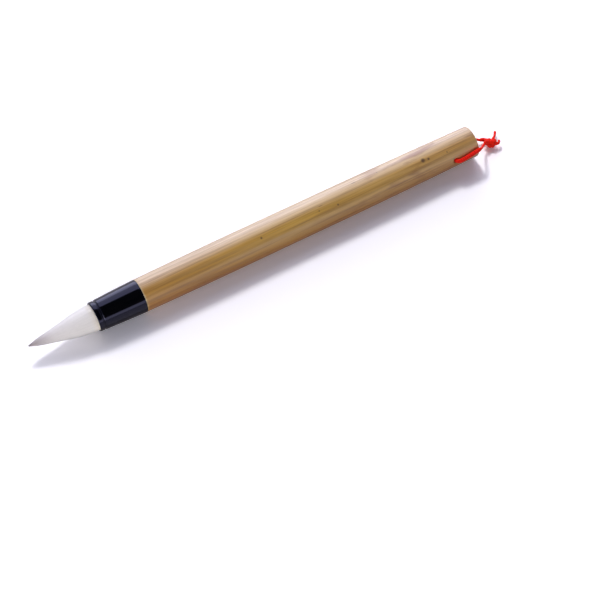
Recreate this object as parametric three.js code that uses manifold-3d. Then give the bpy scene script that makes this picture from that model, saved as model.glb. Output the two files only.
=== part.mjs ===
// A large bamboo calligraphy brush, lying on a flat surface with its tip towards -X.
// Millimetres, +Z up. The origin is under the middle of the brush, on the surface.
import * as THREE from 'three';
import { mergeVertices } from 'three/addons/utils/BufferGeometryUtils.js';
import Module from 'manifold-3d';

// Lengths along the brush, from the tip to the butt.
const hairLength = 33;
const ferruleLength = 24;
const handleLength = 181;

// Round pieces are cut with this many flats, so that a flat lies on the surface.
const flats = 14;

// Bamboo handle
const handleRadius = 8.5;
const shoulderRadius = 8.15; // where it meets the ferrule
const buttRadius = 7.8;
const culmBoreRadius = 3.6; // the natural hollow of the culm
const buttRounding = 1;
const frontTaperLength = 45; // from the shoulder to the full width
const backTaperLength = 75; // from the full width to the butt
const spigotWall = 2.2;
const spigotChamfer = 0.4;

// Ferrule
const ferruleMouthRadius = 7.25;
const ferruleProud = 0.05; // how far its rear edge stands out from the handle's shoulder
const mouthWall = 0.8;
const socketDepth = 13; // for the hair
const webThickness = 2; // between the hair's socket and the spigot's
const webHoleRadius = 2;
const ferruleRearRounding = 0.35;
const lineBehindMouth = 2.6;
const lineWidth = 0.5;
const lineDepth = 0.3;

// What is glued or packed into something else stays this far from it.
const gap = 0.3;

// Hair
const plugThickness = 2.2;
const hairRecess = 0.5; // from the mouth back to where the loose hair starts
const coreRadius = 2.1;
const secondaryRadius = 4.15;
const strandPitch = 0.55; // the least, from strand to strand where they start
const strandRadius = 0.23;
const strandInset = 0.02; // from a strand to the edge of its layer
const shortestCore = 4; // how far behind the tip a layer's shortest hairs end
const shortestSecondary = 9;
const shortestMantle = 10;
const tipShare = 0.07; // the tuft's width at its very tip, as a share of its root
const fullness = 1.4; // 1 is a straight cone
const tipLean = 0.9; // how far the tip lies off the axis
const waistDepth = 0.75; // of the groove that the binding thread lies in
const waistWidth = 3.2;
const waistFromRoot = 1.6;

// Hanging cord. The hole goes across the handle, turned a little from level, so that the
// near strand lies higher than the far one.
const cordRadius = 0.85;
const cordSides = 8;
const strandSteps = 28;
const cordHoleRoom = 0.4; // round the cord in its hole
const holeFromButt = 13.3;
const holeTilt = 15; // degrees
const strandOut = 0.27; // from the handle's side to the cord that runs along it
const strandsApart = 0.4; // from one strand to the other where they meet the knot
const crossInset = 0.8; // from the handle's side in to the end of the cord's stretch in the hole
const knotFromButt = 10.9; // to the knot's middle, along the brush
const knotLength = 5.2;
const knotCoreRadius = 1.6;
const knotTurnRadius = 0.85; // of the turns round the knot, which are squeezed cord
const knotTurnTilt = 0.3; // radians
const knotFlattening = 0.1; // by how much the knot is less high than its turns are round
const tailRadius = 0.75;

const totalLength = hairLength + ferruleLength + handleLength;
const tipX = -totalLength / 2;
const mouthX = tipX + hairLength;
const rearX = mouthX + ferruleLength;
const buttX = totalLength / 2;
const holeX = buttX - holeFromButt;
const ferruleRearRadius = shoulderRadius + ferruleProud;
const bottomRadius = Math.max(handleRadius, ferruleRearRadius);

const wasm = await Module();
wasm.setup();

const bamboo = new THREE.MeshStandardMaterial({ color: '#b98f58', roughness: 0.42, metalness: 0 });
const blackHorn = new THREE.MeshStandardMaterial({ color: '#101014', roughness: 0.12, metalness: 0 });
const paleHair = new THREE.MeshStandardMaterial({ color: '#d8d3cd', roughness: 0.7, metalness: 0 });
const rosin = new THREE.MeshStandardMaterial({ color: '#7a4a1c', roughness: 0.3, metalness: 0 });
const thread = new THREE.MeshStandardMaterial({ color: '#e6dfcf', roughness: 0.9, metalness: 0 });
const redCord = new THREE.MeshStandardMaterial({ color: '#e23a20', roughness: 0.85, metalness: 0 });

function toManifold(geometry) {
  const bare = geometry.clone();
  bare.deleteAttribute('normal');
  bare.deleteAttribute('uv');
  const merged = mergeVertices(bare, 1e-4);
  return new wasm.Manifold(new wasm.Mesh({
    numProp: 3,
    vertProperties: new Float32Array(merged.attributes.position.array),
    triVerts: new Uint32Array(merged.index.array),
  }));
}

function toGeometry(manifold) {
  const mesh = manifold.getMesh();
  const geometry = new THREE.BufferGeometry();
  geometry.setAttribute('position', new THREE.BufferAttribute(mesh.vertProperties, 3));
  geometry.setIndex(new THREE.BufferAttribute(mesh.triVerts, 1));
  return geometry;
}

// A solid of revolution about X. The profile is a list of [x, radius], going round the
// section; its flats touch the true radius, with one flat facing straight down.
function turned(profile) {
  const grow = 1 / Math.cos(Math.PI / flats);
  const points = profile.map(([x, radius]) => new THREE.Vector2(radius * grow, x));
  points.push(points[0].clone());
  const geometry = new THREE.LatheGeometry(points, flats);
  geometry.rotateY(Math.PI / flats);
  geometry.rotateZ(-Math.PI / 2);
  return geometry;
}

// Points on an arc in the profile's plane, from one angle to another in degrees.
function arc(x, radius, size, from, to, steps) {
  return Array.from({ length: steps + 1 }, (_, i) => {
    const angle = THREE.MathUtils.degToRad(from + (to - from) * i / steps);
    return [x + size * Math.cos(angle), radius + size * Math.sin(angle)];
  });
}

// A straight-sectioned tube along a smooth curve through the points.
function tube(points, radius, steps) {
  const section = new THREE.Shape(Array.from({ length: cordSides }, (_, i) => {
    const angle = 2 * Math.PI * (i + 0.5) / cordSides;
    return new THREE.Vector2(radius * Math.cos(angle), radius * Math.sin(angle));
  }));
  const path = new THREE.CatmullRomCurve3(points.map((p) => new THREE.Vector3(...p)));
  return new THREE.ExtrudeGeometry(section, { extrudePath: path, steps });
}

function named(name, geometry, material, x = 0) {
  const mesh = new THREE.Mesh(geometry, material);
  mesh.name = name;
  mesh.position.x = x;
  return mesh;
}

// ---- Handle ----

const spigotLength = ferruleLength - socketDepth - webThickness - gap;
const spigotRadius = culmBoreRadius + spigotWall;
const straightEnd = buttX - backTaperLength;
const backMiddleX = straightEnd + backTaperLength / 2;
const backMiddleRadius = (buttRadius + 2 * handleRadius) / 3;
const cordHoleRadius = cordRadius + cordHoleRoom;

function bambooHandle() {
  const culm = turned([
    [rearX - spigotLength, culmBoreRadius],
    [rearX - spigotLength, spigotRadius - spigotChamfer],
    [rearX - spigotLength + spigotChamfer, spigotRadius],
    [rearX, spigotRadius],
    [rearX, shoulderRadius],
    [rearX + frontTaperLength / 2, (shoulderRadius + 2 * handleRadius) / 3],
    [rearX + frontTaperLength, handleRadius],
    [straightEnd, handleRadius],
    [backMiddleX, backMiddleRadius],
    ...arc(buttX - buttRounding, buttRadius - buttRounding, buttRounding, 90, 0, 4),
    [buttX, culmBoreRadius],
  ]);
  const drill = new THREE.CylinderGeometry(cordHoleRadius, cordHoleRadius, 3 * handleRadius, 12);
  drill.rotateX(-THREE.MathUtils.degToRad(holeTilt));
  drill.translate(holeX, 0, 0);
  return toGeometry(toManifold(culm).subtract(toManifold(drill)));
}

// ---- Ferrule ----

const mouthBoreRadius = ferruleMouthRadius - mouthWall;
const spigotBoreRadius = spigotRadius + gap;

function ferruleShell() {
  const lip = mouthWall / 2;
  const widening = (ferruleRearRadius - ferruleMouthRadius) / ferruleLength;
  const outside = (x) => ferruleMouthRadius + widening * x;
  const lineStart = lineBehindMouth - lineWidth / 2;
  const lineEnd = lineStart + lineWidth;
  return turned([
    ...arc(lip, mouthBoreRadius + lip, lip, 270, 90, 6),
    [lineStart, outside(lineStart)],
    [lineStart + lineDepth / 2, outside(lineStart) - lineDepth],
    [lineEnd - lineDepth / 2, outside(lineEnd) - lineDepth],
    [lineEnd, outside(lineEnd)],
    ...arc(
      ferruleLength - ferruleRearRounding,
      ferruleRearRadius - ferruleRearRounding,
      ferruleRearRounding,
      90,
      0,
      3,
    ),
    [ferruleLength, spigotBoreRadius],
    [socketDepth + webThickness, spigotBoreRadius],
    [socketDepth + webThickness, webHoleRadius],
    [socketDepth, webHoleRadius],
    [socketDepth, mouthBoreRadius],
  ]);
}

// ---- Hair ----

const bundleRadius = mouthBoreRadius - gap;
const rootX = mouthX + socketDepth - plugThickness - gap;
const looseX = mouthX + hairRecess;

// The tuft's width at x, as a share of its width at the mouth.
function tuftShare(x) {
  const fromTip = THREE.MathUtils.clamp((x - tipX) / (looseX - tipX), 0, 1);
  return 1 - (1 - tipShare) * (1 - fromTip) ** fullness;
}

// How far the tuft's middle lies off the axis at x.
function tuftLean(x) {
  return tipLean * Math.max(0, (looseX - x) / (looseX - tipX)) ** 2;
}

// One tapering three-sided strand, from inside its root slice to a point at endX.
function strand(angle, radius, endX, rings) {
  const stations = [looseX + 2 * gap];
  for (let ring = 0; ring < rings; ring += 1) stations.push(THREE.MathUtils.lerp(looseX, endX, ring / rings));
  const positions = [];
  const index = [0, 1, 2];
  const addPoint = (x, y, z) => positions.push(x, tuftShare(x) * y + tuftLean(x), tuftShare(x) * z);
  stations.forEach((x, ring) => {
    for (let corner = 0; corner < 3; corner += 1) {
      const turn = angle + 2 * Math.PI * corner / 3;
      addPoint(
        x,
        radius * Math.cos(angle) + strandRadius * Math.cos(turn),
        radius * Math.sin(angle) + strandRadius * Math.sin(turn),
      );
      const here = 3 * ring + corner;
      const beside = 3 * ring + (corner + 1) % 3;
      if (ring < rings) index.push(here, here + 3, beside, beside, here + 3, beside + 3);
      else index.push(here, 3 * (rings + 1), beside);
    }
  });
  addPoint(endX, radius * Math.cos(angle), radius * Math.sin(angle));
  const geometry = new THREE.BufferGeometry();
  geometry.setAttribute('position', new THREE.BufferAttribute(new Float32Array(positions), 3));
  geometry.setIndex(index);
  return geometry;
}

// A layer of the tuft: its packed root, with circles of strands growing out of the front.
function hairLayer(root, innerRadius, outerRadius, rings, shortest) {
  const inset = strandRadius + strandInset;
  const first = innerRadius === 0 ? 0 : innerRadius + inset;
  const last = outerRadius - inset;
  const circles = Math.floor((last - first) / strandPitch) + 1;
  const strands = [];
  for (let circle = 0; circle < circles; circle += 1) {
    const radius = THREE.MathUtils.lerp(first, last, circle / (circles - 1));
    const count = Math.max(1, Math.floor(2 * Math.PI * radius / strandPitch));
    for (let i = 0; i < count; i += 1) {
      const angle = 2 * Math.PI * (i + circle / 2) / count;
      const stagger = 0.25 + 0.15 * (i * 7 % 6);
      const endX = tipX + shortest * stagger * (radius / bundleRadius);
      strands.push(toManifold(strand(angle, radius, endX, rings)));
    }
  }
  const layer = toManifold(root).add(wasm.Manifold.compose(strands));
  return { geometry: toGeometry(layer), count: strands.length };
}

function hair() {
  const waistEnd = rootX - waistFromRoot;
  const waistStart = waistEnd - waistWidth;
  const secondaryInner = coreRadius + gap;
  const mantleInner = secondaryRadius + gap;
  const coreRoot = turned([[looseX, 0], [looseX, coreRadius], [rootX, coreRadius], [rootX, 0]]);
  const secondaryRoot = turned([
    [looseX, secondaryInner], [looseX, secondaryRadius], [rootX, secondaryRadius], [rootX, secondaryInner],
  ]);
  const mantleRoot = turned([
    [looseX, mantleInner],
    [looseX, bundleRadius],
    [waistStart, bundleRadius],
    [waistStart + waistDepth, bundleRadius - waistDepth],
    [waistEnd - waistDepth, bundleRadius - waistDepth],
    [waistEnd, bundleRadius],
    [rootX, bundleRadius],
    [rootX, mantleInner],
  ]);
  return {
    core_hair: hairLayer(coreRoot, 0, coreRadius, 2, shortestCore),
    secondary_hair: hairLayer(secondaryRoot, secondaryInner, secondaryRadius, 2, shortestSecondary),
    mantle_hair: hairLayer(mantleRoot, mantleInner, bundleRadius, 4, shortestMantle),
  };
}

// The thread lies in the waist of the root, as a plain band.
function rootBinding() {
  const middle = rootX - waistFromRoot - waistWidth / 2;
  const half = waistWidth / 2 - waistDepth - gap;
  const inner = bundleRadius - waistDepth + gap;
  return turned([
    [middle - half, inner],
    [middle - half, bundleRadius],
    [middle + half, bundleRadius],
    [middle + half, inner],
  ]);
}

function rosinPlug() {
  const stub = webThickness - gap;
  return turned([
    [socketDepth - plugThickness, 0],
    [socketDepth - plugThickness, bundleRadius],
    [socketDepth, bundleRadius],
    [socketDepth, webHoleRadius - gap],
    [socketDepth + stub, webHoleRadius - gap],
    [socketDepth + stub, 0],
  ]);
}

// ---- Hanging cord ----
// Each strand comes out of its side of the hole, runs along the handle to the butt and
// bends in to the knot, which lies on the surface. These points are from the middle of the
// hole: X along the brush, Y along the hole to the far side, Z square to both.

const taperAtHole = (holeX - backMiddleX) / (buttX - buttRounding - backMiddleX);
const sideAtHole = THREE.MathUtils.lerp(backMiddleRadius, buttRadius, taperAtHole);
const alongSide = Math.max(sideAtHole, buttRadius) + strandOut + cordRadius;
const crossHalf = sideAtHole - crossInset;
const atKnot = cordRadius + strandsApart / 2;
const loopReach = holeFromButt + knotFromButt;
const knotLift = knotCoreRadius + knotTurnRadius - knotFlattening;
const knotDrop = (bottomRadius - knotLift) / Math.cos(THREE.MathUtils.degToRad(holeTilt));
const knotFront = loopReach - knotLength / 2 - gap;

function nearStrand() {
  return tube([
    [0, -crossHalf - gap, 0],
    [0, -alongSide + 0.7, 0],
    [1, -alongSide, 0],
    [2.4, -alongSide, 0.1],
    [6, -alongSide, 0.4],
    [holeFromButt - 2.4, -alongSide, 0.7],
    [holeFromButt + 0.8, -alongSide + 0.9, 0],
    [holeFromButt + 3.4, -4.4, -2.4],
    [knotFront - 2, -1.5, 0.6 - knotDrop],
    [knotFront - 0.8, -atKnot, 0.1 - knotDrop],
    [knotFront, -atKnot, 0.1 - knotDrop],
  ], cordRadius, strandSteps);
}

function farStrand() {
  return tube([
    [0, crossHalf + gap, 0],
    [0, alongSide - 0.7, 0],
    [1, alongSide, 0],
    [2.4, alongSide, -0.1],
    [6, alongSide, -0.5],
    [holeFromButt - 2.4, alongSide, -1.3],
    [holeFromButt + 0.9, alongSide - 1, -2.4],
    [holeFromButt + 3.4, 4.4, -4],
    [knotFront - 2, 1.5, 0.3 - knotDrop],
    [knotFront - 0.8, atKnot, -knotDrop],
    [knotFront, atKnot, -knotDrop],
  ], cordRadius, strandSteps);
}

function crossStretch() {
  return tube([[0, -crossHalf, 0], [0, 0, 0], [0, crossHalf, 0]], cordRadius, 2);
}

// An overhand knot tied in both ends at once: two turns side by side round the strands,
// and the two cut tails.
function cordKnot() {
  const turn = (x) => {
    const ring = new THREE.TorusGeometry(knotCoreRadius, knotTurnRadius, 8, 14);
    ring.rotateY(Math.PI / 2 + knotTurnTilt);
    ring.translate(x, 0, 0);
    return toManifold(ring);
  };
  const core = new THREE.CylinderGeometry(knotCoreRadius, knotCoreRadius, knotLength, 10);
  core.rotateZ(Math.PI / 2);
  const tails = [
    tube([[0.8, 0.6, 0.2], [2.4, 1, 0.4], [3.8, 2.2, 0.5], [5, 4.1, 0.6]], tailRadius, 6),
    tube([[0.6, -0.7, 0], [1.9, -2.1, -0.4], [3.2, -2.4, -0.5], [4.4, -1.7, -0.3]], tailRadius, 6),
  ];
  return [turn(-knotTurnRadius), turn(knotTurnRadius), toManifold(core), ...tails.map(toManifold)]
    .reduce((sum, piece) => sum.add(piece));
}

// ---- Assembly ----

const brush = new THREE.Group();
brush.position.z = bottomRadius;

brush.add(named('bamboo_handle', bambooHandle(), bamboo));
brush.add(named('ferrule', ferruleShell(), blackHorn, mouthX));
brush.add(named('rosin_plug', rosinPlug(), rosin, mouthX));
brush.add(named('root_binding', rootBinding(), thread));
let strandCount = 0;
for (const [name, layer] of Object.entries(hair())) {
  brush.add(named(name, layer.geometry, paleHair));
  strandCount += layer.count;
}
console.log('hair strands:', strandCount);

const loop = new THREE.Group();
loop.position.x = holeX;
loop.rotation.x = -THREE.MathUtils.degToRad(holeTilt);
loop.add(named('cord_cross_stretch', crossStretch(), redCord));
loop.add(named('cord_near_strand', nearStrand(), redCord));
loop.add(named('cord_far_strand', farStrand(), redCord));
const knot = named('cord_knot', toGeometry(cordKnot()), redCord, loopReach);
knot.position.z = -knotDrop;
loop.add(knot);
brush.add(loop);

const model = new THREE.Group();
model.add(brush);
export default model;
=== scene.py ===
import math

import bmesh
import bpy
import numpy as np
from mathutils import Matrix, Vector


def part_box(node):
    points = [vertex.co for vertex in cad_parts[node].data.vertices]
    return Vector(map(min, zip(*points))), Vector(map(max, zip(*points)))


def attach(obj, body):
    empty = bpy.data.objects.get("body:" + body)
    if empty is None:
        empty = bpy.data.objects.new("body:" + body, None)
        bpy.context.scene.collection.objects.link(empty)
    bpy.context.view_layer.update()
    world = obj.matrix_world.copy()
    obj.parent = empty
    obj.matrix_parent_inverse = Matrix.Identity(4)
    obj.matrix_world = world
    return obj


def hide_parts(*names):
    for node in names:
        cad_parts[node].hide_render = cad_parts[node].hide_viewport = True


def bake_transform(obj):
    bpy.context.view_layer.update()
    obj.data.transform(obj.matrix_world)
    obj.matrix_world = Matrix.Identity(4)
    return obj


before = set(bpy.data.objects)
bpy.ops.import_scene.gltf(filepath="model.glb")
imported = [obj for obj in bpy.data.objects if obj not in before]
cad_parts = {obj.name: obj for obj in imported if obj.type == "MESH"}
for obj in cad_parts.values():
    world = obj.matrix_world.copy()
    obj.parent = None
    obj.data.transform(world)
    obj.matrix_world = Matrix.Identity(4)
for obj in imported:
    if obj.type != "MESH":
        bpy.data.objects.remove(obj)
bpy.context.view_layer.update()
print("frame loaded")

mm = 0.001
handleLow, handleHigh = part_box("bamboo_handle")
ferruleLow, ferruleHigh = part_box("ferrule")
holeLow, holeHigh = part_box("cord_cross_stretch")
axisZ = (handleLow.z + handleHigh.z) / 2
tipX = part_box("core_hair")[0].x
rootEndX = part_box("mantle_hair")[1].x
mouthX = ferruleLow.x
rearX = ferruleHigh.x
buttX = handleHigh.x
holeX = (holeLow.x + holeHigh.x) / 2
rng = np.random.default_rng(11)


# Helpers

def hexColour(text):  # sRGB hex to linear
    values = [int(text[i:i + 2], 16) / 255 for i in (0, 2, 4)]
    return (*[v / 12.92 if v <= 0.04045 else ((v + 0.055) / 1.055) ** 2.4 for v in values], 1)


def addNode(tree, kind, links=None, stops=None, **settings):  # adds a node with its settings and links
    node = tree.nodes.new("ShaderNode" + kind)
    for name, value in settings.items():
        setattr(node, name, value)
    for socket, value in (links or {}).items():
        if isinstance(value, bpy.types.NodeSocket):
            tree.links.new(value, node.inputs[socket])
        else:
            node.inputs[socket].default_value = value
    if stops:
        elements = node.color_ramp.elements
        while len(elements) < len(stops):
            elements.new(0.5)
        for element, (position, colour) in zip(elements, stops):
            element.position = position
            element.color = hexColour(colour)
    return node


def newMaterial(name, **shader):  # a material whose Principled shader has these socket values
    material = bpy.data.materials.new(name)
    material.use_nodes = True
    tree = material.node_tree
    principled = tree.nodes["Principled BSDF"]
    for socket, value in shader.items():
        principled.inputs[socket.replace("_", " ")].default_value = value
    return material, tree, principled


def makeObject(name, bm, material, smoothAngle=40):
    bmesh.ops.remove_doubles(bm, verts=bm.verts, dist=1e-7)
    bmesh.ops.recalc_face_normals(bm, faces=bm.faces)
    mesh = bpy.data.meshes.new(name)
    bm.to_mesh(mesh)
    bm.free()
    mesh.shade_smooth()
    mesh.set_sharp_from_angle(angle=math.radians(smoothAngle))
    if material:
        mesh.materials.append(material)
    made = bpy.data.objects.new(name, mesh)
    bpy.context.scene.collection.objects.link(made)
    return made


def turnProfile(bm, profile, steps):  # spins a closed list of (x, radius) round the brush's axis
    corners = [bm.verts.new((x, 0, axisZ + radius)) for x, radius in profile]
    edges = [bm.edges.new((a, b)) for a, b in zip(corners, corners[1:] + corners[:1])]
    bmesh.ops.spin(bm, geom=corners + edges, cent=(0, 0, axisZ), axis=(1, 0, 0),
                   angle=2 * math.pi, steps=steps, use_merge=True)
    bmesh.ops.remove_doubles(bm, verts=bm.verts, dist=1e-6)


def roundEdges(bm, places, width, segments):  # bevels the rings that lie at these (x, radius) places
    picked = []
    for edge in bm.edges:
        ends = [(v.co.x, math.hypot(v.co.y, v.co.z - axisZ)) for v in edge.verts]
        if any(all(abs(x - px) < 1e-5 and abs(r - pr) < 2e-5 for x, r in ends) for px, pr in places):
            picked.append(edge)
    bmesh.ops.bevel(bm, geom=picked, offset=width, offset_type="OFFSET", affect="EDGES",
                    segments=segments, profile=0.5, material=-1, clamp_overlap=True)


def growRing(bm, ring):  # extrudes the last ring of an open tube, and returns the new ring in the same order
    edges = [bm.edges.get(pair) for pair in zip(ring, ring[1:] + ring[:1])]
    grown = set(bmesh.ops.extrude_edge_only(bm, edges=edges)["geom"])
    return [next(e.other_vert(v) for e in v.link_edges if e.other_vert(v) in grown) for v in ring]


def splinePoints(points, spacing, fineSteps=24, smoothings=6):  # an even row on a smooth curve through them
    rough = np.array(points, float)
    padded = np.vstack([2 * rough[0] - rough[1], rough, 2 * rough[-1] - rough[-2]])
    fine = []
    for a, b, c, d in zip(padded, padded[1:], padded[2:], padded[3:]):
        for t in np.linspace(0, 1, fineSteps, endpoint=False):
            fine.append(0.5 * (2 * b + (c - a) * t + (2 * a - 5 * b + 4 * c - d) * t ** 2
                               + (3 * b - a - 3 * c + d) * t ** 3))
    fine = np.array(fine + [rough[-1]])
    for _ in range(smoothings):
        fine[1:-1] = (fine[:-2] + 2 * fine[1:-1] + fine[2:]) / 4
    travelled = np.concatenate([[0], np.cumsum(np.linalg.norm(np.diff(fine, axis=0), axis=1))])
    places = np.linspace(0, travelled[-1], max(2, round(travelled[-1] / spacing)) + 1)
    return np.column_stack([np.interp(places, travelled, fine[:, k]) for k in range(3)]), travelled[-1]


# Camera

view = {
    "place": (-234.3, -455.5, 775.0),  # mm
    "elevation": 58,  # degrees
    "turn": -29.47,
    "lens": 117,  # mm
    "sensor": 36,
}

cameraData = bpy.data.cameras.new("camera")
cameraData.lens = view["lens"]
cameraData.sensor_width = view["sensor"]
camera = bpy.data.objects.new("camera", cameraData)
camera.location = Vector(view["place"]) * mm
camera.rotation_euler = (math.radians(90 - view["elevation"]), 0, math.radians(view["turn"]))
bpy.context.scene.collection.objects.link(camera)
bpy.context.scene.camera = camera


# Hanging cord: one length of braid, through the handle and tied in both ends at once

cord = {  # mm and degrees; places are from the middle of the hole, in its tilted frame
    "diameter": 1.7,
    "sides": 16,
    "ringSpacing": 0.11,  # fine enough for the braid to be modelled
    "plait": 1.1,  # the braid's repeat along the cord
    "plaitDepth": 0.05,
    "strandsAround": 4,  # of the braid's eight, the other four turn the other way
    "radii": [(12.2, 1.02), (14, 0.66), (20, 0.62), (21.2, 0.94), (25.8, 0.94), (27, 0.62)],  # by x
    "cutEnd": (0.75, 0.8),  # share of the radius at the cut, and how much it gains in each mm
    "holeTilt": 15,  # from level
    "nearSide": [(0, -3, 0), (0.1, -7.4, 0), (0.45, -8.5, 0), (1.2, -9.1, 0), (2.6, -9.25, 0),
                 (6, -9.2, 0.3), (11.5, -9.05, 1.1), (13.2, -8.8, 1.2), (15.3, -6.7, -0.5),
                 (18.5, -2.4, -4.0)],
    "farSide": [(0, 3, 0), (0, 7.6, 0), (0.15, 8.5, 0), (0.8, 9.05, 0), (2.4, 9.1, -0.1),
                (6, 9.1, -0.5), (11.5, 9.1, -1.3), (13.2, 8.9, -1.7), (15.2, 7.8, -2.6),
                (17.6, 5.6, -4.2)],
    "knot": (23.7, -0.4, -6.25),  # its middle; the next four are from there
    "nearEntry": [(-2.4, -0.6, 2.4), (-1.2, -0.4, 1.4), (-0.2, -0.3, 0.6), (0.7, -0.5, 0.3)],
    "farEntry": [(-4.0, 4.3, 1.1), (-1.6, 3.2, 0.7), (-0.4, 1.6, 0.5), (0.7, 0.5, 0.3)],
    "nearTail": [(1.9, -1.9, 0), (3.0, -2.4, -0.1), (3.9, -2.0, 0), (4.5, -0.9, 0.1)],
    "farTail": [(2.6, 1.2, 0.6), (4.4, 2.7, 0.8), (6.0, 4.95, 0.9)],
    "knotTurn": -29,  # of the knot's length from the brush's, seen from above
    "wrapRadius": 1.55,
    "wrapTuck": 0.4,  # share by which the first and last of a strand's wraps are drawn in
    "wrapPitch": 2.8,
    "wrapTurns": 1.2,
    "wrapStart": 60,
    "wrapShift": 0.65,  # of each strand's wraps, to its own side
    "wrapSteps": 16,
}


def fromHole(point):  # mm in the hole's tilted frame to metres in the part's frame
    x, y, z = point
    tilt = math.radians(cord["holeTilt"])
    return (holeX + x * mm, (y * math.cos(tilt) + z * math.sin(tilt)) * mm,
            axisZ + (z * math.cos(tilt) - y * math.sin(tilt)) * mm)


def knotRoute(entry, tail, side):  # round the knot from the strand's way in to its tail; side is -1 or 1
    route = list(entry)
    turn = math.radians(cord["knotTurn"])
    for step in range(cord["wrapSteps"] + 1):
        share = step / cord["wrapSteps"]
        angle = math.radians(cord["wrapStart"]) + 2 * math.pi * cord["wrapTurns"] * share
        radius = cord["wrapRadius"] * (1 - cord["wrapTuck"] * (2 * share - 1) ** 4)
        along = cord["wrapShift"] * side + cord["wrapPitch"] * cord["wrapTurns"] * (0.5 - share)
        out = radius * math.cos(angle)
        route.append((along * math.cos(turn) - out * math.sin(turn),
                      along * math.sin(turn) + out * math.cos(turn), radius * math.sin(angle)))
    route += [(-0.6, -side * 0.3, -0.5), (0.9, side * 0.1 - 0.1, -0.3)] + tail  # out under the wraps
    kx, ky, kz = cord["knot"]
    return [(kx + x, ky + y, kz + z) for x, y, z in route]


nearKnot = knotRoute(cord["nearEntry"], cord["nearTail"], -1)
farKnot = knotRoute(cord["farEntry"], cord["farTail"], 1)
cordRoute = nearKnot[::-1] + cord["nearSide"][::-1] + [(0, 0, 0)] + cord["farSide"] + farKnot
cordLine, cordLength = splinePoints([fromHole(point) for point in cordRoute], cord["ringSpacing"] * mm)
print("cord line:", len(cordLine), "rings,", round(cordLength * 1000, 1), "mm")

# Dyed viscose, braided on eight carriers: satin red, with the grooves between its strands painted darker as
# shade
redBraid, tree, shader = newMaterial("red_viscose_braid", Roughness=0.6, IOR=1.47,
                                     Specular_IOR_Level=0.15)
weave = addNode(tree, "Attribute", attribute_name="weave")
spot = addNode(tree, "TexCoord")
lint = addNode(tree, "TexNoise", {"Vector": spot.outputs["Object"], "Scale": 1 / (0.5 * mm), "Detail": 4})
# red dye on the strands, with painted shade darkening the grooves between them
dyeAndGrooveShade = addNode(tree, "ValToRGB", {"Fac": weave.outputs["Fac"]},
              stops=[(0.0, "960400"), (0.45, "e80f07"), (1.0, "ff2a14")])
faded = addNode(tree, "Mix", {0: lint.outputs["Fac"], 6: dyeAndGrooveShade.outputs["Color"], 7: hexColour("fa2812")},
                data_type="RGBA")
tree.links.new(faded.outputs[2], shader.inputs["Base Color"])
fibres = addNode(tree, "TexNoise", {"Vector": spot.outputs["Object"], "Scale": 1 / (0.12 * mm),
                                    "Detail": 3})
relief = addNode(tree, "Bump", {"Height": fibres.outputs["Fac"], "Strength": 0.5,
                                "Distance": 0.04 * mm})
tree.links.new(relief.outputs["Normal"], shader.inputs["Normal"])

bm = bmesh.new()
weaveLayer = bm.verts.layers.float.new("weave")
ring = bmesh.ops.create_circle(bm, cap_ends=False, radius=cord["diameter"] / 2 * mm,
                               segments=cord["sides"])["verts"]
angles = 2 * math.pi * np.arange(cord["sides"]) / cord["sides"]
strandTurn = cord["strandsAround"] * angles
cutShare, cutGain = cord["cutEnd"]
tangents = np.gradient(cordLine, axis=0)
tangents /= np.linalg.norm(tangents, axis=1)[:, None]
across = np.cross(tangents[0], (0.3, 0.2, 1.0))  # with any direction that isn't along the cord
for number, (place, tangent) in enumerate(zip(cordLine, tangents)):
    across = across - tangent * np.dot(across, tangent)
    across /= np.linalg.norm(across)
    aside = np.cross(tangent, across)
    if number:
        ring = growRing(bm, ring)
    phase = 2 * math.pi * (number * cord["ringSpacing"]) / cord["plait"] / 2
    bulge = 0.5 + 0.5 * np.sin(strandTurn + phase) * np.sin(strandTurn - phase)
    fromEnd = min(number, len(cordLine) - 1 - number) * cord["ringSpacing"]
    size = np.interp((place[0] - holeX) / mm, *zip(*cord["radii"])) * min(1, cutShare + fromEnd * cutGain)
    radii = (size + cord["plaitDepth"] * (bulge - 0.5)) * mm
    for vert, angle, radius, height in zip(ring, angles, radii, bulge):
        vert.co = Vector(place + radius * (math.cos(angle) * across + math.sin(angle) * aside))
        vert[weaveLayer] = height
bmesh.ops.holes_fill(bm, edges=[e for e in bm.edges if e.is_boundary], sides=cord["sides"])
redCord = makeObject("redCord", bm, redBraid, smoothAngle=70)
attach(redCord, "hanging_loop")
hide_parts("cord_cross_stretch", "cord_near_strand", "cord_far_strand", "cord_knot")
print("cord done:", len(redCord.data.polygons), "faces")


# Bamboo handle

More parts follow.
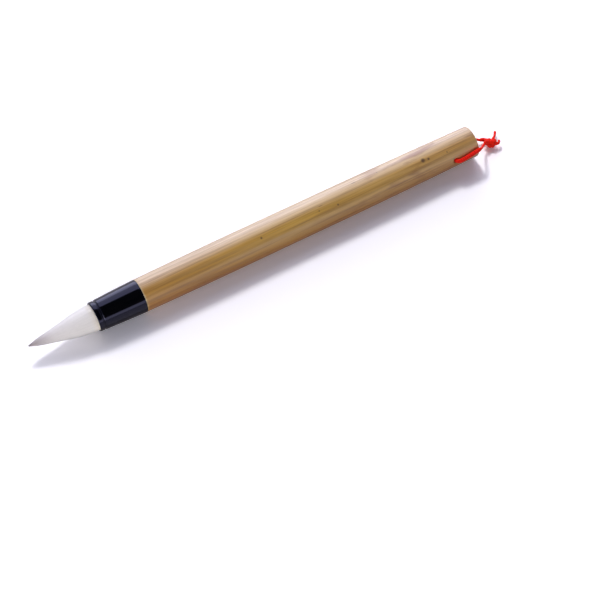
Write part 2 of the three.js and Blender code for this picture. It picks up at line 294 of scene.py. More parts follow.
handle = {  # mm; radii unless said
    "shoulder": 8.15,
    "middle": (handleHigh.z - axisZ) / mm,
    "butt": 7.8,
    "bore": 3.6,
    "spigot": 5.8,
    "frontTaper": 45,  # long
    "backTaper": 75,  # long
    "taperPower": 1.58,
    "stationSpacing": 3,
    "lastStation": 2,  # the last one stays further than this from the butt
    "buttRounding": 0.5,
    "boreRounding": 0.35,
    "shoulderRounding": 0.15,
    "smoothAngle": 35,  # degrees
    "cordHole": 1.2,
    "flareDepth": 0.7,  # how far in the hole's broken edge reaches
    "drill": (12, 4.55),  # half its length, and its radius there
    "drillSteps": 24,
    "steps": 128,
    "specks": [(0.1, -3.9, 7.5, 0.75), (31.3, -3.9, 7.5, 0.45), (41.1, -4.8, 7.0, 0.6),
               (66, 1.5, 8.3, 0.3), (89.3, -2.9, 7.6, 1.4), (92.2, -3.3, 7.4, 0.8),
               (102.3, -3.9, 7.0, 0.45), (104.6, -7.1, 3.5, 0.5), (-21, 5.2, -6.7, 0.45),
               (52, -2.5, -8.1, 0.5)],  # x, y and z from the axis, and radius
    "patterns": {  # scale along the culm, size across it, detail and roughness
        "fibre": (0.022, 1.15, 5, 0.65),
        "band": (0.045, 3.2, 3, 0.5),
        "scorch": (0.3, 5.5, 4, 0.5),
    },
    "ground": [(0.0, "dccd9c"), (0.0022, "dccd9c"), (0.004, "bd8b38"), (0.18, "c3943b"),
               (0.45, "d0a546"), (0.72, "d0a44c"), (0.9, "d2a352"),
               (1.0, "cc9c50")],  # ferrule to butt, with a pale scraped ring first
    "paintedLightSide": (0, 0.88, 0.475),  # its direction: that side is painted paler as a highlight, and the opposite side darker as painted shade
    # the next colour is a painted highlight, laid on the side towards the lights
    "paintedHighlight": "dcc5a4",
    "fibreTone": "84581f",
    "bandTone": "c6a368",
    # the next colour is painted shade, multiplied into the side away from the lights
    "paintedShade": "c8aa68",
    "scorched": "8a5522",
    "fleckTone": "5a3618",
    "speckTone": "3c2411",
}


def handleRadius(x):
    front = min(1, (x - rearX) / mm / handle["frontTaper"])
    back = max(0, 1 - (buttX - x) / mm / handle["backTaper"])
    return (handle["middle"] - (handle["middle"] - handle["shoulder"]) * (1 - front) ** handle["taperPower"]
            - (handle["middle"] - handle["butt"]) * back ** handle["taperPower"]) * mm


bm = bmesh.new()
spacing = handle["stationSpacing"]
lastStation = round((buttX - rearX) / mm) - handle["lastStation"]
stations = [rearX + k * mm for k in range(spacing, lastStation, spacing)]
profile = [(handleLow.x, handle["bore"] * mm), (handleLow.x, handle["spigot"] * mm),
           (rearX, handle["spigot"] * mm), (rearX, handleRadius(rearX))]
profile += [(x, handleRadius(x)) for x in stations]
profile += [(buttX, handle["butt"] * mm), (buttX, handle["bore"] * mm)]
turnProfile(bm, profile, handle["steps"])
roundEdges(bm, [(buttX, handle["butt"] * mm)], handle["buttRounding"] * mm, segments=6)
roundEdges(bm, [(buttX, handle["bore"] * mm)], handle["boreRounding"] * mm, segments=3)
roundEdges(bm, [(rearX, handleRadius(rearX)), (handleLow.x, handle["spigot"] * mm)],
           handle["shoulderRounding"] * mm, segments=3)
bambooHandle = makeObject("bambooHandle", bm, None, handle["smoothAngle"])

bm = bmesh.new()  # the drill that cuts the cord's hole, flared where the edge is broken
drillHalf, drillFlare = [value * mm for value in handle["drill"]]
reach = handleRadius(holeX) - handle["flareDepth"] * mm
spindle = [(-drillHalf, 0), (-drillHalf, drillFlare), (-reach, handle["cordHole"] * mm),
           (reach, handle["cordHole"] * mm), (drillHalf, drillFlare), (drillHalf, 0)]
corners = [bm.verts.new((0, y, r)) for y, r in spindle]
lines = [bm.edges.new(pair) for pair in zip(corners, corners[1:])]
bmesh.ops.spin(bm, geom=corners + lines, cent=(0, 0, 0), axis=(0, 1, 0), angle=2 * math.pi,
               steps=handle["drillSteps"], use_merge=True)
turning = Matrix.Rotation(-math.radians(cord["holeTilt"]), 4, "X")
bmesh.ops.transform(bm, matrix=Matrix.Translation((holeX, 0, axisZ)) @ turning, verts=bm.verts)
drill = makeObject("drill", bm, None)
cut = bambooHandle.modifiers.new("cord hole", "BOOLEAN")
cut.object = drill
cut.operation = "DIFFERENCE"
cut.solver = "EXACT"
drilled = bpy.data.meshes.new_from_object(bambooHandle.evaluated_get(bpy.context.evaluated_depsgraph_get()))
bambooHandle.modifiers.clear()
bambooHandle.data = drilled
bpy.data.objects.remove(drill)
drilled.shade_smooth()
drilled.set_sharp_from_angle(angle=math.radians(handle["smoothAngle"]))
drilled.materials.clear()

# Bamboo culm, scraped, browned over heat and waxed: satin, with long fibres and darker scorched patches
bamboo, tree, shader = newMaterial("waxed_bamboo", Roughness=0.42, IOR=1.5, Specular_IOR_Level=0.5,
                                   Coat_Roughness=0.4, Coat_IOR=1.65, Sheen_Weight=0.25,
                                   Sheen_Roughness=0.45)
spot = addNode(tree, "TexCoord")
centred = addNode(tree, "Mapping", {"Vector": spot.outputs["Object"], "Location": (0, 0, -axisZ)})
onCulm = centred.outputs["Vector"]
alongX = addNode(tree, "SeparateXYZ", {"Vector": onCulm}).outputs["X"]
noise = {}
for name, (drawn, size, detail, roughness) in handle["patterns"].items():
    drawnOut = addNode(tree, "Mapping", {"Vector": onCulm, "Scale": (drawn, 1, 1)})
    noise[name] = addNode(tree, "TexNoise", {"Vector": drawnOut.outputs["Vector"], "Scale": 1 / (size * mm),
                                             "Detail": detail, "Roughness": roughness}).outputs["Fac"]
length = addNode(tree, "MapRange", {"Value": alongX, "From Min": rearX, "From Max": buttX})
ground = addNode(tree, "ValToRGB", {"Fac": length.outputs["Result"]}, stops=handle["ground"])

# painted light: the side towards the lights is painted paler as a highlight, and the side away from them is
# painted darker brown as shade
around = addNode(tree, "VectorMath", {0: onCulm, 1: handle["paintedLightSide"]}, operation="DOT_PRODUCT")
paintedHighlightShare = addNode(tree, "MapRange", {"Value": around.outputs["Value"], "From Min": 1 * mm,
                                       "From Max": 6 * mm, "To Max": 0.75})
paintedShadeShare = addNode(tree, "MapRange", {"Value": around.outputs["Value"], "From Min": -3.4 * mm,
                                        "From Max": -8 * mm})
fibreShare = addNode(tree, "MapRange", {"Value": noise["fibre"], "From Min": 0.42, "From Max": 0.68,
                                        "To Max": 0.7})
bandShare = addNode(tree, "MapRange", {"Value": noise["band"], "From Min": 0.45, "From Max": 0.75,
                                       "To Max": 0.6})

# scorched patches, stronger towards the butt, and a few short flecks
towardsButt = addNode(tree, "MapRange", {"Value": alongX, "From Min": 20 * mm, "From Max": 110 * mm})
patches = addNode(tree, "MapRange", {"Value": noise["scorch"], "From Min": 0.54, "From Max": 0.68})
scorchShare = addNode(tree, "Math", {0: towardsButt.outputs["Result"], 1: patches.outputs["Result"]},
                      operation="MULTIPLY")
fleckSpace = addNode(tree, "Mapping", {"Vector": onCulm, "Scale": (0.14, 1, 1)})
fleck = addNode(tree, "TexVoronoi", {"Vector": fleckSpace.outputs["Vector"], "Scale": 1 / (2.1 * mm)})
fleckSpot = addNode(tree, "MapRange", {"Value": fleck.outputs["Distance"], "From Min": 0.12,
                                       "From Max": 0.05, "To Max": 0.75})
fleckRare = addNode(tree, "Math", {0: fleck.outputs["Color"], 1: 0.8}, operation="GREATER_THAN")
fleckShare = addNode(tree, "Math", {0: fleckSpot.outputs["Result"], 1: fleckRare.outputs["Value"]},
                     operation="MULTIPLY")
# the pale layer is a painted highlight and the brown layer is painted shade; the others are the culm's own
# colour
layers = [(paintedHighlightShare, "paintedHighlight", "MIX"), (fibreShare, "fibreTone", "MIX"), (bandShare, "bandTone", "MIX"),
          (paintedShadeShare, "paintedShade", "MULTIPLY"), (scorchShare, "scorched", "MIX"),
          (fleckShare, "fleckTone", "MIX")]
for x, y, z, size in handle["specks"]:  # where a leaf bud or an insect left a dark point
    away = addNode(tree, "VectorMath", {0: onCulm, 1: (x * mm, y * mm, z * mm)}, operation="DISTANCE")
    speck = addNode(tree, "MapRange", {"Value": away.outputs["Value"], "From Min": size * mm,
                                       "From Max": size * 0.4 * mm, "To Max": 0.8})
    layers.append((speck, "speckTone", "MIX"))
skin = ground.outputs["Color"]
for share, colour, blend in layers:
    skin = addNode(tree, "Mix", {0: share.outputs[0], 6: skin, 7: hexColour(handle[colour])},
                   data_type="RGBA", blend_type=blend).outputs[2]

# end grain, with its dark vessel bundles, on the cut butt and in the bore
crossSpace = addNode(tree, "Mapping", {"Vector": onCulm, "Scale": (0, 1, 1)})
fromAxis = addNode(tree, "VectorMath", {0: crossSpace.outputs["Vector"]}, operation="LENGTH")
bundles = addNode(tree, "TexVoronoi", {"Vector": crossSpace.outputs["Vector"], "Scale": 1 / (0.55 * mm)})
grain = addNode(tree, "ValToRGB", {"Fac": bundles.outputs["Distance"]},
                stops=[(0.12, "7b5326"), (0.35, "c9a874"), (0.8, "dcc294")])
atButt = addNode(tree, "Math", {0: alongX, 1: buttX - 0.25 * mm}, operation="GREATER_THAN")
inBore = addNode(tree, "Math", {0: fromAxis.outputs["Value"], 1: (handle["bore"] + 0.3) * mm},
                 operation="LESS_THAN")
cutFace = addNode(tree, "Math", {0: atButt.outputs["Value"], 1: inBore.outputs["Value"]},
                  operation="MAXIMUM")
surface = addNode(tree, "Mix", {0: cutFace.outputs["Value"], 6: skin, 7: grain.outputs["Color"]},
                  data_type="RGBA")
tree.links.new(surface.outputs[2], shader.inputs["Base Color"])

# the wax is worn thin along the side that is painted darker as shade, and the cut faces are dull
waxed = addNode(tree, "MapRange", {"Value": around.outputs["Value"], "From Min": -7.5 * mm,
                                   "From Max": -2 * mm, "To Min": 0.15})
tree.links.new(waxed.outputs["Result"], shader.inputs["Coat Weight"])
wax = addNode(tree, "MapRange", {"Value": noise["band"], "To Min": 0.36, "To Max": 0.52})
dull = addNode(tree, "Math", {0: wax.outputs["Result"], 1: cutFace.outputs["Value"]}, operation="MAXIMUM")
rough = addNode(tree, "Math", {0: dull.outputs["Value"], 1: 0.8}, operation="MINIMUM")
tree.links.new(rough.outputs["Value"], shader.inputs["Roughness"])
relief = addNode(tree, "Bump", {"Height": noise["fibre"], "Strength": 0.35, "Distance": 0.05 * mm})
tree.links.new(relief.outputs["Normal"], shader.inputs["Normal"])
bambooHandle.data.materials.append(bamboo)
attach(bambooHandle, "brush")
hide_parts("bamboo_handle")
print("handle done:", len(bambooHandle.data.polygons), "faces")


# Horn ferrule

ferrule = {  # mm; radii unless said
    "mouth": 7.25,
    "rear": 8.2,
    "swell": 0.06,  # how far its side stands out from straight
    "wall": 0.8,
    "socket": 13,  # deep
    "web": 2,
    "webHole": 2,
    "spigotBore": 6.1,
    "groove": 2.6,  # behind the mouth
    "grooveWidth": 0.9,
    "grooveFlat": 0.4,  # share of its width
    "grooveDepth": 0.36,
    "grooveRounding": 0.24,
    "lipRounding": 0.37,
    "rearRounding": 0.35,
    "side": (4.5, 1.5, 12),  # plain side: start behind the mouth, end before the rear, and its rings
    "steps": 128,
}


def ferruleRadius(back):  # mm, at this distance behind the mouth
    share = back / ((rearX - mouthX) / mm)
    return (ferrule["mouth"] + (ferrule["rear"] - ferrule["mouth"]) * share
            + ferrule["swell"] * math.sin(math.pi * share))


bm = bmesh.new()
length = (rearX - mouthX) / mm
inner = ferrule["mouth"] - ferrule["wall"]
middle = ferrule["groove"]
half = ferrule["grooveWidth"] / 2
flat = half * ferrule["grooveFlat"]
grooveFloor = ferruleRadius(middle) - ferrule["grooveDepth"]
grooveEdges = [(back, ferruleRadius(back)) for back in (middle - half, middle + half)]
outline = [(0, inner), (0, ferrule["mouth"]), grooveEdges[0], (middle - flat, grooveFloor),
           (middle + flat, grooveFloor), grooveEdges[1]]
sideStart, sideEnd, sideRings = ferrule["side"]
outline += [(back, ferruleRadius(back)) for back in np.linspace(sideStart, length - sideEnd, sideRings)]
socketEnd = ferrule["socket"] + ferrule["web"]
outline += [(length, ferrule["rear"]), (length, ferrule["spigotBore"]), (socketEnd, ferrule["spigotBore"]),
            (socketEnd, ferrule["webHole"]), (ferrule["socket"], ferrule["webHole"]),
            (ferrule["socket"], inner)]
turnProfile(bm, [(mouthX + back * mm, radius * mm) for back, radius in outline], ferrule["steps"])
roundEdges(bm, [(mouthX, ferrule["mouth"] * mm), (mouthX, inner * mm)], ferrule["lipRounding"] * mm,
           segments=5)
roundEdges(bm, [(mouthX + back * mm, radius * mm) for back, radius in grooveEdges],
           ferrule["grooveRounding"] * mm, segments=4)
roundEdges(bm, [(rearX, ferrule["rear"] * mm)], ferrule["rearRounding"] * mm, segments=4)

# Buffalo horn, turned and polished: near black, glassy, with faint brown streaks along it
# the bluish Specular Tint is painted light: the blue of the window light, put into the horn's reflections
blackHorn, tree, shader = newMaterial("polished_buffalo_horn", Roughness=0.09, IOR=1.54,
                                      Specular_IOR_Level=0.53, Specular_Tint=hexColour("c2c4f2"))
spot = addNode(tree, "TexCoord")
streakSpace = addNode(tree, "Mapping", {"Vector": spot.outputs["Object"], "Scale": (0.12, 1, 1)})
streak = addNode(tree, "TexNoise", {"Vector": streakSpace.outputs["Vector"], "Scale": 1 / (1.6 * mm),
                                    "Detail": 4})
horn = addNode(tree, "ValToRGB", {"Fac": streak.outputs["Fac"]},
               stops=[(0.35, "030406"), (0.62, "070709"), (0.8, "14100f")])
tree.links.new(horn.outputs["Color"], shader.inputs["Base Color"])
scuff = addNode(tree, "TexNoise", {"Vector": spot.outputs["Object"], "Scale": 1 / (4 * mm), "Detail": 6})
polish = addNode(tree, "MapRange", {"Value": scuff.outputs["Fac"], "From Min": 0.35, "From Max": 0.7,
                                    "To Min": 0.07, "To Max": 0.11})
tree.links.new(polish.outputs["Result"], shader.inputs["Roughness"])
waviness = addNode(tree, "TexNoise", {"Vector": streakSpace.outputs["Vector"], "Scale": 1 / (2.4 * mm),
                                      "Detail": 2})
relief = addNode(tree, "Bump", {"Height": waviness.outputs["Fac"], "Strength": 0.12,
                                "Distance": 0.03 * mm})
tree.links.new(relief.outputs["Normal"], shader.inputs["Normal"])
hornFerrule = makeObject("hornFerrule", bm, blackHorn, smoothAngle=50)
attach(hornFerrule, "brush")
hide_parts("ferrule")
print("ferrule done:", len(hornFerrule.data.polygons), "faces")


# Hair: a mantle over a secondary layer over a core, each a bundle of fine tapering strands

hair = {  # mm
    "outline": [(0, 0.16), (1.2, 0.62), (3, 1.28), (6.6, 2.15), (11, 2.98), (15, 3.78), (19, 4.72),
                (23.4, 5.6), (27.5, 6.18), (31, 6.47), (32.8, 6.42), (34, 6.3),
                (60, 6.15)],  # from the tip, and radius
    "rootRadius": 6.15,
    "layers": [("mantleHair", "mantle_hair", 4300, 4.45, 6.15, 15),
               ("secondaryHair", "secondary_hair", 560, 2.4, 4.15, 9),
               ("coreHair", "core_hair", 300, 0, 2.1, 4)],
    # piece, CAD node, strands, inner and outer radius at the root, and how far from the tip the last ends
    "lean": 0.9,  # tip off the axis
    "stations": 8,  # rings in a strand
    "thickness": 0.075,  # radius of a strand, coarser than real hair so that it shows
    "endTaper": 0.8,  # share of that thickness lost at a strand's end
    "fineTip": (10, 0.35),  # over this length at the tip all strands get finer, down to this share
    "mantleDepth": (0.965, 0.035),  # share of the layer's radius, and the part added at random
    "mantleRoot": 1.2,  # behind the mouth, where its strands start
    "innerRoot": 8,
    "nearestEnd": 0.05,  # from the tip
    "endSpread": 1.7,  # power, above 1 for more ends near the tip
    "clumps": 46,
    "clumpDepth": 0.07,
    "clumpFade": 12,  # length at the tip over which they close up
    "waver": 0.1,  # radians
    "stray": 0.35,  # radians at a strand's end
    "lift": 0.05,
    "shade": (0.55, 0.45),  # a strand's own tone, and its clump's
    "softness": 0.85,  # share of the smooth tuft in the strands' shading
    "bundle": [-32.4, -30, -27, -23, -18, -13, -9, -5, -2, 0.6],  # rings under the mantle's strands
    "bundleShare": 0.985,
    "waist": [(4.8, 6.15), (4.05, 5.4), (2.35, 5.4), (1.6, 6.15), (0, 6.15)],  # from the root's end, radius
    "hollow": [(-3, 1), (-8, 0.8), (-16, 0.5)],  # from the mouth, and share of the layer's inner radius
    "hollowTip": 0.02,
    "innerStart": 0.4,  # behind the mouth, where the inner layers' glued roots start
    "rootSteps": 64,
    "rootShade": 0.4,
}
tuftLength = (mouthX - tipX) / mm


def tuftRadius(fromTip):  # mm
    return np.interp(fromTip, *zip(*hair["outline"]))


def leanAt(fromTip):  # mm, how far the tuft's middle stands off the axis
    return hair["lean"] * np.clip((tuftLength - fromTip) / tuftLength, 0, 1) ** 2


def keepValues(mesh, **values):  # keeps a number for each of the mesh's points under these names
    for name, row in values.items():
        mesh.attributes.new(name, "FLOAT", "POINT").data.foreach_set("value", row.astype(np.float32))


def hairStrands(name, count, inner, outer, longest, mantle):
    bm = bmesh.new()
    bmesh.ops.create_cone(bm, cap_ends=False, segments=3, radius1=1, radius2=1, depth=1)
    rungs = [e for e in bm.edges if abs(e.verts[0].co.z - e.verts[1].co.z) > 0.5]
    bmesh.ops.subdivide_edges(bm, edges=rungs, cuts=hair["stations"] - 2, use_grid_fill=True)
    ends = [e for e in bm.edges if e.is_boundary and e.verts[0].co.z > 0]
    bmesh.ops.holes_fill(bm, edges=ends, sides=3)
    one = np.array([v.co for v in bm.verts])
    kinds = (bm.verts, bm.edges, bm.faces)
    sizes = [len(kind) for kind in kinds]
    made = 1
    while made < count:
        take = min(made, count - made)
        copied = [part for kind, size in zip(kinds, sizes) for part in list(kind)[:take * size]]
        bmesh.ops.duplicate(bm, geom=copied)
        made += take
    share = np.tile(one[:, 2] + 0.5, count)  # along its strand, 0 at the root and 1 at the end
    spoke = np.tile(np.arctan2(-one[:, 1], one[:, 0]), count)
    strand = np.repeat(np.arange(count), len(one))
    angle = rng.uniform(0, 2 * math.pi, count)
    depth = np.sqrt(rng.uniform((inner / outer) ** 2, 1, count))
    if mantle:
        depth = hair["mantleDepth"][0] + hair["mantleDepth"][1] * rng.uniform(0, 1, count)
    clump = np.sin(angle * hair["clumps"] / 2 + 3 * np.sin(angle * 3)) * 0.5 + 0.5  # uneven, 0 to 1
    endFromTip = longest * rng.uniform(0, 1, count) ** hair["endSpread"] + hair["nearestEnd"]
    startFromTip = tuftLength + (hair["mantleRoot"] if mantle else hair["innerRoot"])
    fromTip = startFromTip + (endFromTip[strand] - startFromTip) * share
    swirl = (angle[strand] + hair["waver"] * np.sin(3 * share * math.pi + 5 * angle[strand] + strand) * share
             + hair["stray"] * rng.uniform(-1, 1, count)[strand] * share ** 2)
    parting = np.sqrt(np.clip(fromTip / hair["clumpFade"], 0, 1))
    radius = (tuftRadius(fromTip) * (depth[strand] * outer / hair["rootRadius"])
              + mantle * hair["clumpDepth"] * (clump[strand] - 0.5) * parting)
    radius += hair["lift"] * rng.uniform(-1, 1, count)[strand] * share
    fineLength, fineShare = hair["fineTip"]
    fineness = fineShare + (1 - fineShare) * np.clip(fromTip / fineLength, 0, 1)
    thick = hair["thickness"] * (1 - hair["endTaper"] * share ** 3) * fineness
    y = radius * np.cos(swirl) + thick * np.cos(spoke) + leanAt(fromTip)
    z = radius * np.sin(swirl) + thick * np.sin(spoke)
    mesh = bpy.data.meshes.new(name)
    bm.to_mesh(mesh)
    bm.free()
    places = np.column_stack([tipX / mm + fromTip, y, axisZ / mm + z]) * mm
    mesh.vertices.foreach_set("co", places.astype(np.float32).ravel())
    ownShade, clumpShade = hair["shade"]
    shade = ownShade * rng.uniform(0, 1, count) + clumpShade * clump
    keepValues(mesh, shade=shade[strand], fromTip=fromTip)
    return mesh


def hairRoot(name, inner, outer, mantle):  # the glued root in the socket, and the bundle under the strands
    bm = bmesh.new()
    rootEnd = (rootEndX - mouthX) / mm
    if mantle:
        profile = [(x, hair["bundleShare"] * tuftRadius(x + tuftLength)) for x in hair["bundle"]]
        profile += [(rootEnd - x, radius) for x, radius in hair["waist"]] + [(rootEnd, inner)]
        profile += [(x, inner * share) for x, share in hair["hollow"]]
        profile.append((hair["bundle"][0], hair["hollowTip"]))
    else:
        low = max(inner, 0.001)  # a solid root nearly closes at the axis
        start = hair["innerStart"]
        profile = [(start, low), (start, outer), (rootEnd, outer), (rootEnd, low)]
    turnProfile(bm, [(mouthX + x * mm, radius * mm) for x, radius in profile], hair["rootSteps"])
    for vert in bm.verts:
        vert.co.y += leanAt((vert.co.x - tipX) / mm) * mm
    bmesh.ops.recalc_face_normals(bm, faces=bm.faces)
    mesh = bpy.data.meshes.new(name)
    bm.to_mesh(mesh)
    bm.free()
    places = np.array([v.co for v in mesh.vertices])
    keepValues(mesh, shade=np.full(len(places), hair["rootShade"]), fromTip=(places[:, 0] - tipX) / mm)
    return mesh


def layHair(mesh):  # shades the strands mostly as the smooth tuft that they lie in, so that they look soft
    places = np.empty(len(mesh.vertices) * 3, np.float32)
    own = np.empty(len(mesh.vertices) * 3, np.float32)
    mesh.vertices.foreach_get("co", places)
    mesh.vertex_normals.foreach_get("vector", own)
    places = places.reshape(-1, 3)
    own = own.reshape(-1, 3)
    fromTip = (places[:, 0] - tipX) / mm
    forward = np.full(len(places), -0.2)  # the smooth tuft faces a little towards its tip
    smooth = np.column_stack([forward, places[:, 1] / mm - leanAt(fromTip), (places[:, 2] - axisZ) / mm])
    smooth[:, 1:] /= np.maximum(np.linalg.norm(smooth[:, 1:], axis=1), 1e-6)[:, None]
    share = np.where(fromTip < tuftLength + 0.5, hair["softness"], 0)[:, None]  # none in the socket
    mixed = own * (1 - share) + smooth * share
    mixed /= np.linalg.norm(mixed, axis=1)[:, None]
    mesh.normals_split_custom_set_from_vertices(mixed.tolist())


# Bleached goat hair, washed and starched to a point: pale and soft, yellower at the glued mouth, greyer
# at the tip
goatHair, tree, shader = newMaterial("goat_hair", Roughness=0.55, IOR=1.55, Specular_IOR_Level=0.5,
                                     Sheen_Weight=0.8, Sheen_Roughness=0.6)
shade = addNode(tree, "Attribute", attribute_name="shade")
fromTip = addNode(tree, "Attribute", attribute_name="fromTip")
reach = addNode(tree, "MapRange", {"Value": fromTip.outputs["Fac"], "From Min": 0, "From Max": tuftLength})
tone = addNode(tree, "ValToRGB", {"Fac": reach.outputs["Result"]},
               stops=[(0.0, "857a7b"), (0.08, "b8adae"), (0.2, "dad3d3"), (0.38, "f3efec"), (0.6, "faf7f3"),
                      (0.9, "fbf8f2"), (0.96, "faf5e8"), (1.0, "f8f1e0")])
lights = addNode(tree, "MapRange", {"Value": shade.outputs["Fac"], "To Min": 0.95, "To Max": 1.03})
spot = addNode(tree, "TexCoord")
lying = addNode(tree, "Mapping", {"Vector": spot.outputs["Object"], "Scale": (0.05, 1, 1)})
locks = addNode(tree, "TexNoise", {"Vector": lying.outputs["Vector"], "Scale": 1 / (0.5 * mm), "Detail": 4})
parted = addNode(tree, "MapRange", {"Value": locks.outputs["Fac"], "From Min": 0.3, "From Max": 0.7,
                                    "To Min": 0.97, "To Max": 1.03})
depth = addNode(tree, "Math", {0: lights.outputs["Result"], 1: parted.outputs["Result"]},
                operation="MULTIPLY")
toned = addNode(tree, "Mix", {0: 1.0, 6: tone.outputs["Color"], 7: depth.outputs["Value"]},
                data_type="RGBA", blend_type="MULTIPLY")
tree.links.new(toned.outputs[2], shader.inputs["Base Color"])

for name, node, count, inner, outer, longest in hair["layers"]:
    mantle = name == "mantleHair"
    strands = bpy.data.objects.new(name, hairStrands(name, count, inner, outer, longest, mantle))
    root = bpy.data.objects.new(name + "Root", hairRoot(name + "Root", inner, outer, mantle))
    for part in (strands, root):
        bpy.context.scene.collection.objects.link(part)
        part.data.shade_smooth()
        part.data.materials.append(goatHair)
    with bpy.context.temp_override(active_object=strands, selected_editable_objects=[strands, root]):
        bpy.ops.object.join()
    layHair(strands.data)
    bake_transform(strands)
    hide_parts(node)
    print("hair layer", name, "done:", len(strands.data.polygons), "faces")


# Thread bound round the root, in its waist

binding = {  # mm
    "fromRootEnd": 3.2,  # its middle
    "radius": 5.62,
    "thread": 0.19,
    "turns": 3,
    "stepsPerTurn": 48,
    "sides": 6,
}

bm = bmesh.new()
middle = rootEndX - binding["fromRootEnd"] * mm
turnsDone = np.linspace(0, binding["turns"], binding["stepsPerTurn"] * binding["turns"] + 1)
ring = bmesh.ops.create_circle(bm, cap_ends=False, radius=1, segments=binding["sides"])["verts"]
for number, done in enumerate(turnsDone):
    if number:
        ring = growRing(bm, ring)
    for k, vert in enumerate(ring):
        spoke = 2 * math.pi * k / binding["sides"]
        radius = binding["radius"] + binding["thread"] * math.cos(spoke)
        along = binding["thread"] * (math.sin(spoke) + 2 * (done - binding["turns"] / 2))
        vert.co = (middle + along * mm, radius * math.cos(2 * math.pi * done) * mm,
                   axisZ + radius * math.sin(2 * math.pi * done) * mm)
bmesh.ops.holes_fill(bm, edges=[e for e in bm.edges if e.is_boundary], sides=binding["sides"])

# Waxed cotton thread: cream and matt, a little uneven in its dye
cotton, tree, shader = newMaterial("waxed_cotton_thread", Roughness=0.85, IOR=1.5)
spot = addNode(tree, "TexCoord")
twist = addNode(tree, "TexNoise", {"Vector": spot.outputs["Object"], "Scale": 1 / (0.3 * mm), "Detail": 3})
cream = addNode(tree, "ValToRGB", {"Fac": twist.outputs["Fac"]}, stops=[(0.3, "b9ab8a"), (0.7, "e2d8bf")])
tree.links.new(cream.outputs["Color"], shader.inputs["Base Color"])
threadBinding = makeObject("threadBinding", bm, cotton, smoothAngle=80)
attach(threadBinding, "brush")
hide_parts("root_binding")

# Rosin, poured hot round the root: brown glass with paler bubbles
rosin, tree, shader = newMaterial("pine_rosin", Roughness=0.22, IOR=1.54, Coat_Weight=0.3)
spot = addNode(tree, "TexCoord")
bubbles = addNode(tree, "TexVoronoi", {"Vector": spot.outputs["Object"], "Scale": 1 / (0.9 * mm)})
amber = addNode(tree, "ValToRGB", {"Fac": bubbles.outputs["Distance"]},
                stops=[(0.1, "9a6428"), (0.5, "6d3f14")])
tree.links.new(amber.outputs["Color"], shader.inputs["Base Color"])
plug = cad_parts["rosin_plug"]
plug.data.materials.clear()
plug.data.materials.append(rosin)
print("hidden pieces done")


# Floor and lights

stage = {
    "floor": 4,  # m
    "paper": "cbc6c3",
    "paperSeen": 1.28,  # by the camera, so that lit paper is white and a shadow on it stays
    "paperMirrored": 0.15,  # share of that in reflections
    "backdrop": (0.09, 0.24),  # m from the brush's middle, where the paper turns plain white to the camera
    "lights": {  # turn from straight behind and elevation, degrees; distance and size, m; radiance; colour
        "lamp": (14, 53.6, 1.3, (0.22, 0.22), 53, "faf8fc"),
        "windowLow": (20, 18, 1.0, (0.9, 0.6), 3.4, "ececfc"),
        "windowHigh": (20, 54, 1.0, (1.0, 0.65), 1.7, "ececfc"),
        "fill": (170, 11, 1.2, (2.4, 0.4), 1.5, "f6f2f8"),
        "card": (240, 7.5, 0.34, (0.24, 0.08), 6.6, "fcf8f6"),
    },
    "sky": "e2e1ff",
    "skyFade": (0.15, 0.75),  # upward share of a direction
    "skyLow": 0.03,
    "skyAbove": 0.01,
    "sidesFade": (0.45, 0.75),  # share of a direction that points left or right
    "sides": 0.6,
}

bm = bmesh.new()
bmesh.ops.create_grid(bm, x_segments=1, y_segments=1, size=stage["floor"] / 2)
# Matt white paper: pale grey to the lights, and white to the camera, with a little of that in reflections
paper, tree, shader = newMaterial("matt_white_paper", Roughness=0.9)
path = addNode(tree, "LightPath")
mirrored = addNode(tree, "Math", {0: path.outputs["Is Glossy Ray"], 1: path.outputs["Is Transmission Ray"]},
                   operation="MAXIMUM")
white = addNode(tree, "Math", {0: mirrored.outputs["Value"], 1: stage["paperMirrored"]},
                operation="MULTIPLY")
seen = addNode(tree, "Math", {0: path.outputs["Is Camera Ray"], 1: white.outputs["Value"]},
               operation="MAXIMUM")
shown = addNode(tree, "Mix", {0: seen.outputs["Value"], 6: hexColour(stage["paper"]),
                              7: (*[stage["paperSeen"]] * 3, 1)}, data_type="RGBA")
tree.links.new(shown.outputs[2], shader.inputs["Base Color"])
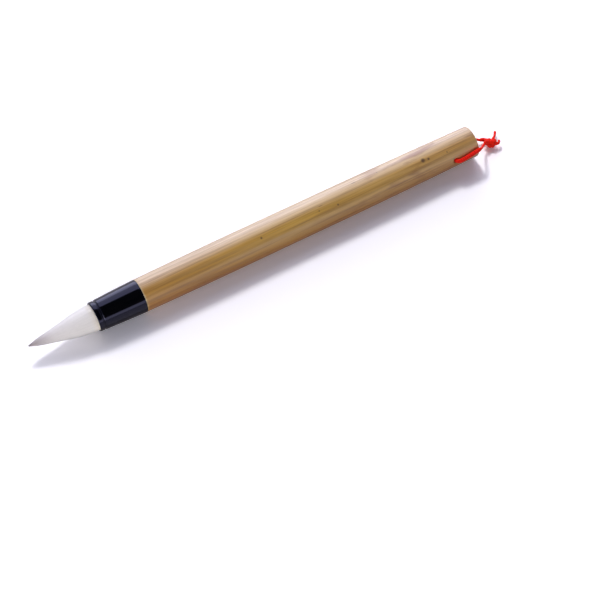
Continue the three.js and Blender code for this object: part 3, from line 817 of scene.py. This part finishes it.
# far from the brush it gives off white to the camera alone; the distance along the brush counts half
spot = addNode(tree, "TexCoord")
fromBrush = addNode(tree, "Mapping", {"Vector": spot.outputs["Object"], "Scale": (0.5, 1, 1)})
away = addNode(tree, "VectorMath", {0: fromBrush.outputs["Vector"]}, operation="LENGTH")
backdrop = addNode(tree, "MapRange", {"Value": away.outputs["Value"], "From Min": stage["backdrop"][0],
                                      "From Max": stage["backdrop"][1]})
glow = addNode(tree, "Math", {0: backdrop.outputs["Result"], 1: path.outputs["Is Camera Ray"]},
               operation="MULTIPLY")
tree.links.new(glow.outputs["Value"], shader.inputs["Emission Strength"])
floor = makeObject("floor", bm, paper)

for name, (turn, elevation, distance, (width, height), radiance, colour) in stage["lights"].items():
    data = bpy.data.lights.new(name, "AREA")
    data.shape = "RECTANGLE"
    data.size = width
    data.size_y = height
    data.energy = radiance * math.pi * width * height
    data.color = hexColour(colour)[:3]
    light = bpy.data.objects.new(name, data)
    turn = math.radians(turn)
    elevation = math.radians(elevation)
    towards = Vector((math.sin(turn) * math.cos(elevation), math.cos(turn) * math.cos(elevation),
                      math.sin(elevation)))
    light.location = towards * distance
    light.rotation_euler = towards.to_track_quat("Z", "Y").to_euler()
    light.visible_glossy = name != "lamp"  # the windows are what gloss shows
    bpy.context.scene.collection.objects.link(light)

world = bpy.data.worlds.new("studio")
bpy.context.scene.world = world
world.use_nodes = True
tree = world.node_tree
background = tree.nodes["Background"]
direction = addNode(tree, "TexCoord")
towards = addNode(tree, "SeparateXYZ", {"Vector": direction.outputs["Generated"]})
sky = addNode(tree, "MapRange", {"Value": towards.outputs["Z"], "From Min": stage["skyFade"][0],
                                 "From Max": stage["skyFade"][1], "To Min": stage["skyLow"],
                                 "To Max": stage["skyAbove"]})
sideways = addNode(tree, "Math", {0: towards.outputs["X"]}, operation="ABSOLUTE")
sides = addNode(tree, "MapRange", {"Value": sideways.outputs["Value"], "From Min": stage["sidesFade"][0],
                                   "From Max": stage["sidesFade"][1], "To Max": stage["sides"]})
both = addNode(tree, "Math", {0: sky.outputs["Result"], 1: sides.outputs["Result"]})
path = addNode(tree, "LightPath")
level = addNode(tree, "Mix", {0: path.outputs["Is Camera Ray"], 2: both.outputs["Value"], 3: 1.0},
                data_type="FLOAT")
tree.links.new(level.outputs[0], background.inputs["Strength"])
daylight = addNode(tree, "Mix", {0: path.outputs["Is Camera Ray"], 6: hexColour(stage["sky"]),
                                 7: (1, 1, 1, 1)}, data_type="RGBA")
tree.links.new(daylight.outputs[2], background.inputs["Color"])

bpy.context.scene.view_settings.view_transform = "Standard"
print("stage done")
